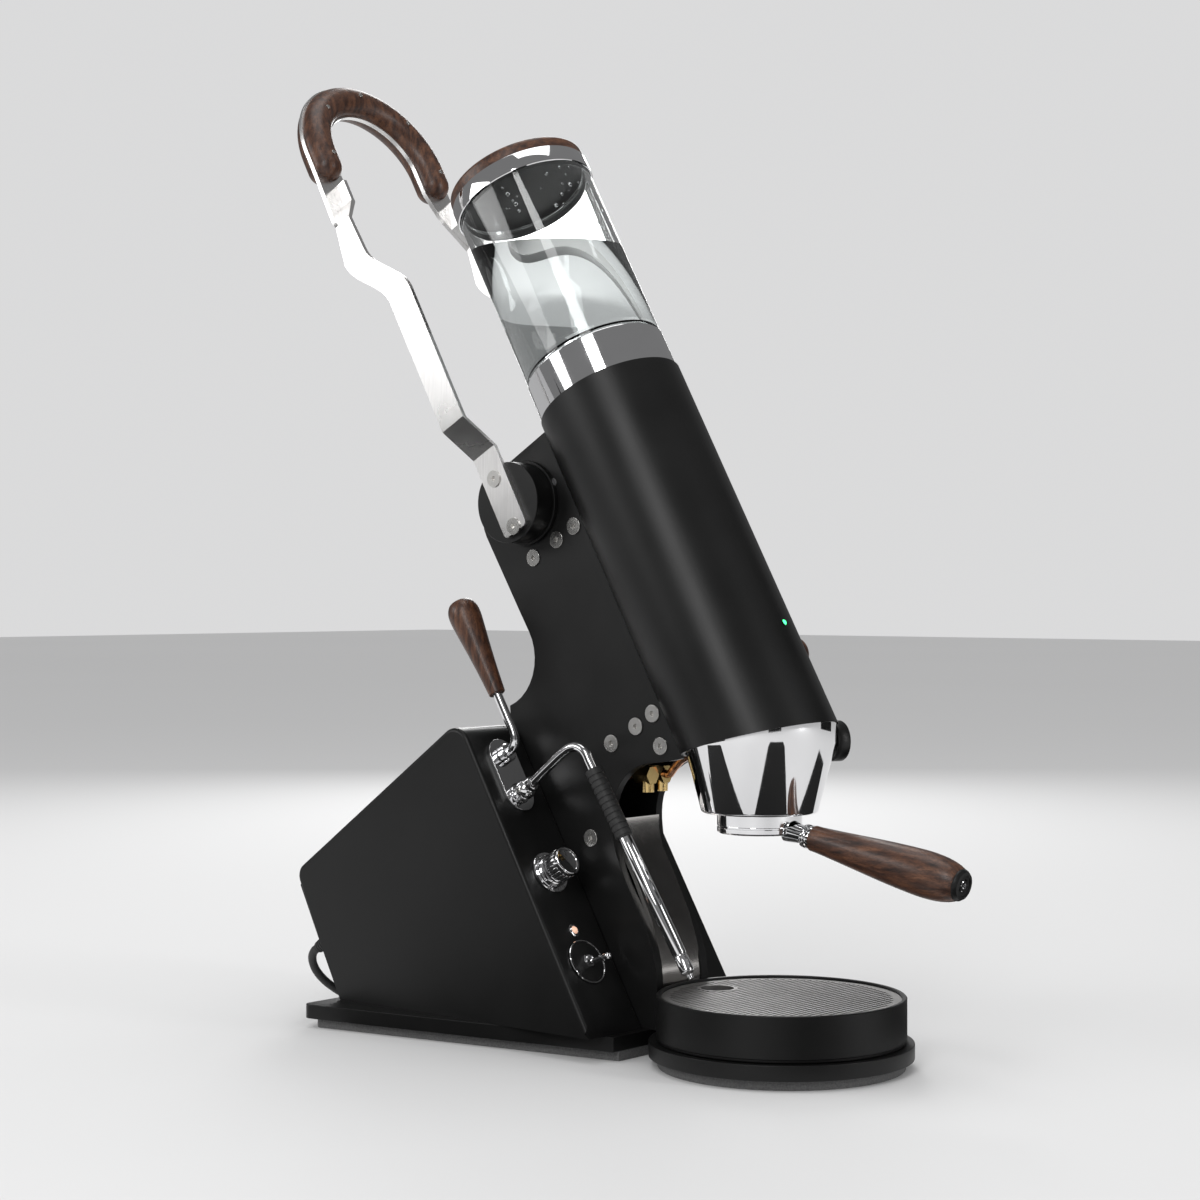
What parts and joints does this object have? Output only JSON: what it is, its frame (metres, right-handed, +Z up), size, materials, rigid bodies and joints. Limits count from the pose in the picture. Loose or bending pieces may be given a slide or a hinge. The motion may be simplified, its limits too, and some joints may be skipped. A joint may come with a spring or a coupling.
{
  "type": "lever espresso machine",
  "caption": "Manual lever espresso machine: tilted tube with glass tank, geared lever with arch grip, group and portafilter, steam wand, boiler housing and drip tray.",
  "frame": {"origin": "on the surface it stands on, in the middle plane, under the waist between the housing and the drip tray", "axes": "+X to the user's right, front faces -Y, +Z up"},
  "size_m": [0.2722, 0.6981, 0.8375],
  "materials": {
    "rubber_pad": "matt",
    "black_steel": "satin black powder coat",
    "brushed_steel": "fine brushed",
    "plain_steel": "machined",
    "chrome": "polished",
    "walnut": "oiled",
    "clear_glass": "clear",
    "brass": "machined",
    "copper": "drawn tube",
    "boiler_steel": "rolled sheet",
    "seal_rubber": "matt",
    "cord_rubber": "matt",
    "black_metal": "satin"
  },
  "bodies": {
    "frame": {"base_pad": "rubber_pad", "base_plate": "black_steel", "side_plate_left": "black_steel", "side_plate_right": "black_steel", "spine_strip": "brushed_steel", "cross_rods": "plain_steel", "frame_screws": "plain_steel", "rear_housing": "black_steel", "back_cover": "black_steel", "boiler": "boiler_steel", "heating_element": "copper", "copper_pipes": "copper", "pipe_nuts": "brass", "valve_bodies": "brass", "column_tube": "black_steel", "tube_ring": "chrome", "tank_glass": "clear_glass", "group_bell": "chrome", "brew_cylinder": "brass", "shower_screen": "plain_steel", "group_gasket": "seal_rubber", "spring_plate": "plain_steel", "hub_flanges": "black_steel", "main_spring": "plain_steel", "steam_escutcheon": "chrome", "knob_dial": "brushed_steel", "lamps": "brass", "switch_plate": "black_steel", "pressure_gauge": "black_metal", "cable_gland": "cord_rubber", "cord_tube": "cord_rubber", "cord_coil": "cord_rubber", "cord_plug": "cord_rubber"},
    "lever": {"hub_discs": "black_steel", "axle_shaft": "plain_steel", "drive_gear": "plain_steel", "lever_arms": "brushed_steel", "lever_arch": "brushed_steel", "grip_front": "walnut", "grip_back": "walnut", "lever_screws": "plain_steel"},
    "idler": {"idler_gear": "plain_steel"},
    "piston": {"gear_rack": "plain_steel", "piston_rod": "plain_steel", "piston_seals": "seal_rubber"},
    "steam_handle": {"steam_lever_rod": "chrome", "steam_lever_handle": "walnut"},
    "wand_joint": {"wand_ball": "chrome"},
    "wand": {"wand_tube": "chrome", "wand_sleeve": "seal_rubber"},
    "knob": {"control_knob": "chrome"},
    "toggle": {"toggle_lever": "chrome"},
    "portafilter": {"portafilter_body": "chrome", "filter_basket": "plain_steel", "portafilter_handle": "walnut", "handle_cap": "black_metal"},
    "tank_lid": {"lid": "walnut"},
    "tray": {"drip_tray": "black_steel", "drip_grille": "black_steel"},
    "side_valve": {"side_knob": "walnut"}
  },
  "joints": [
    {"name": "lever_swing", "type": "hinge", "parent": "frame", "child": "lever", "pos_m": [0, 0.09425, 0.44916], "axis": [1, 0, 0], "range_deg": [0, 105], "stiffness_Nm_per_rad": 1.5, "springref_deg": -11.46},
    {"name": "idler_spin", "type": "hinge", "parent": "frame", "child": "idler", "pos_m": [0, 0.06451, 0.46564], "axis": [1, 0, 0], "range_deg": [-151, 1]},
    {"name": "piston_slide", "type": "slide", "parent": "frame", "child": "piston", "axis": [0, 0.4848, 0.8746], "range_m": [-0.0005, 0.0375], "deforming": ["main_spring"]},
    {"name": "steam_lever_turn", "type": "hinge", "parent": "frame", "child": "steam_handle", "pos_m": [-0.0655, 0.0925, 0.23651], "axis": [0, -0.866, 0.5], "range_deg": [0, 75]},
    {"name": "wand_swing", "type": "hinge", "parent": "frame", "child": "wand_joint", "pos_m": [-0.0655, 0.06609, 0.21076], "axis": [0, -0.866, 0.5], "range_deg": [-60, 0]},
    {"name": "wand_tilt", "type": "hinge", "parent": "wand_joint", "child": "wand", "pos_m": [-0.0655, 0.06609, 0.21076], "axis": [1, 0, 0], "range_deg": [-25, 0]},
    {"name": "knob_turn", "type": "hinge", "parent": "frame", "child": "knob", "pos_m": [-0.0655, 0.039, 0.14384], "axis": [0, -0.866, 0.5], "range_deg": [-135, 135]},
    {"name": "toggle_flip", "type": "hinge", "parent": "frame", "child": "toggle", "pos_m": [-0.0655, -0.001, 0.07456], "axis": [1, 0, 0], "range_deg": [-24, 0]},
    {"name": "portafilter_turn", "type": "hinge", "parent": "frame", "child": "portafilter", "pos_m": [0, -0.12654, 0.25712], "axis": [0, 0, 1], "range_deg": [-50, 0]},
    {"name": "lid_lift", "type": "slide", "parent": "frame", "child": "tank_lid", "axis": [0, 0.4848, 0.8746], "range_m": [0, 0.04]},
    {"name": "tray_slide", "type": "slide", "parent": "frame", "child": "tray", "axis": [0, -1, 0], "range_m": [0, 0.11]},
    {"name": "side_knob_turn", "type": "hinge", "parent": "frame", "child": "side_valve", "pos_m": [0.0615, -0.10407, 0.32241], "axis": [1, 0, 0], "range_deg": [0, 180]}
  ],
  "couplings": [
    {"joint": "idler_spin", "follows": "lever_swing", "ratio": -1.4286},
    {"joint": "piston_slide", "follows": "lever_swing", "m_per_rad": 0.02}
  ]
}
